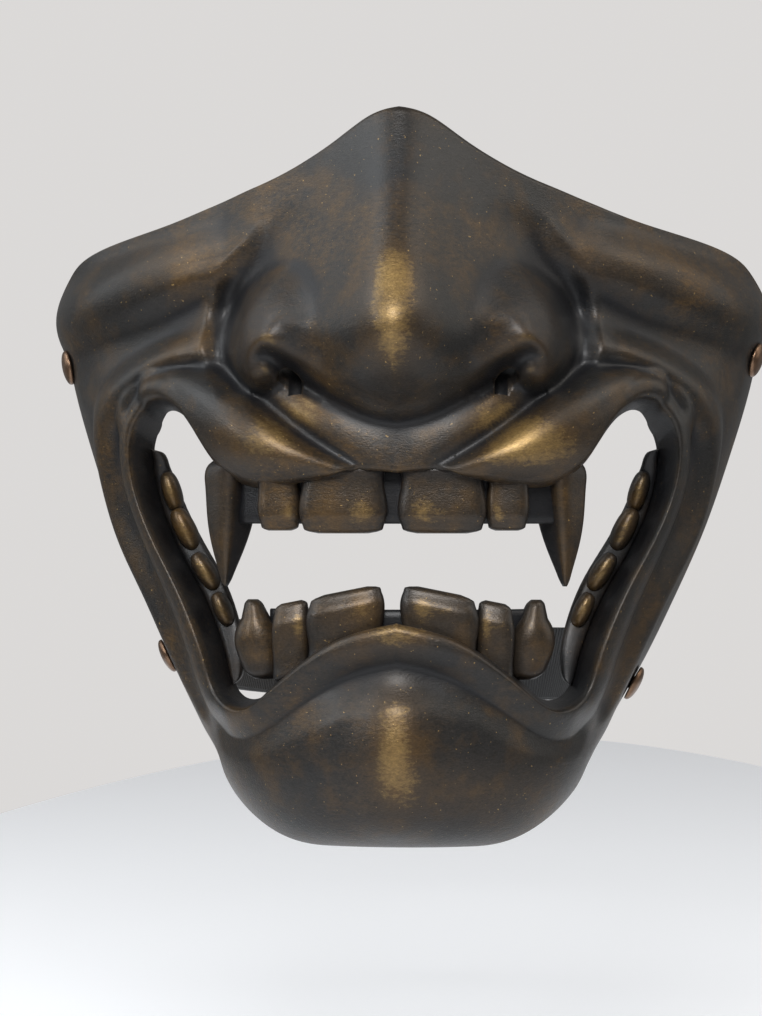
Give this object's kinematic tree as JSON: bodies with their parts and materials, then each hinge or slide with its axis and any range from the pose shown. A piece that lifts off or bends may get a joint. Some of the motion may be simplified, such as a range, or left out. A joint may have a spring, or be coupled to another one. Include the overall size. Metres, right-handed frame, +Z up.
{
  "type": "samurai face guard",
  "caption": "Half mask with a flared nose, snarling open mouth, teeth and fangs, held on by two riveted head straps.",
  "frame": {"origin": "seat on the inside of the nose bridge, on the middle plane, where the mask rests on its wearer", "axes": "+Z up, -Y out of the face, +X to the right of a viewer in front"},
  "size_m": [0.1746, 0.2111, 0.1661],
  "materials": {
    "bronze_paint": "black-brown paint with gold dry-brushed high points, satin",
    "tooth_paint": "bronze paint over black, worn gold on the edges, satin",
    "copper_rivet": "aged copper-brown metal",
    "black_webbing": "woven black webbing"
  },
  "bodies": {
    "root": {"mask_shell": "bronze_paint", "upper_teeth": "tooth_paint", "lower_teeth": "tooth_paint", "cheek_teeth_left": "tooth_paint", "cheek_teeth_right": "tooth_paint", "rivet_upper_left": "copper_rivet", "rivet_upper_right": "copper_rivet", "rivet_lower_left": "copper_rivet", "rivet_lower_right": "copper_rivet", "upper_strap": "black_webbing", "lower_strap": "black_webbing"}
  },
  "joints": []
}
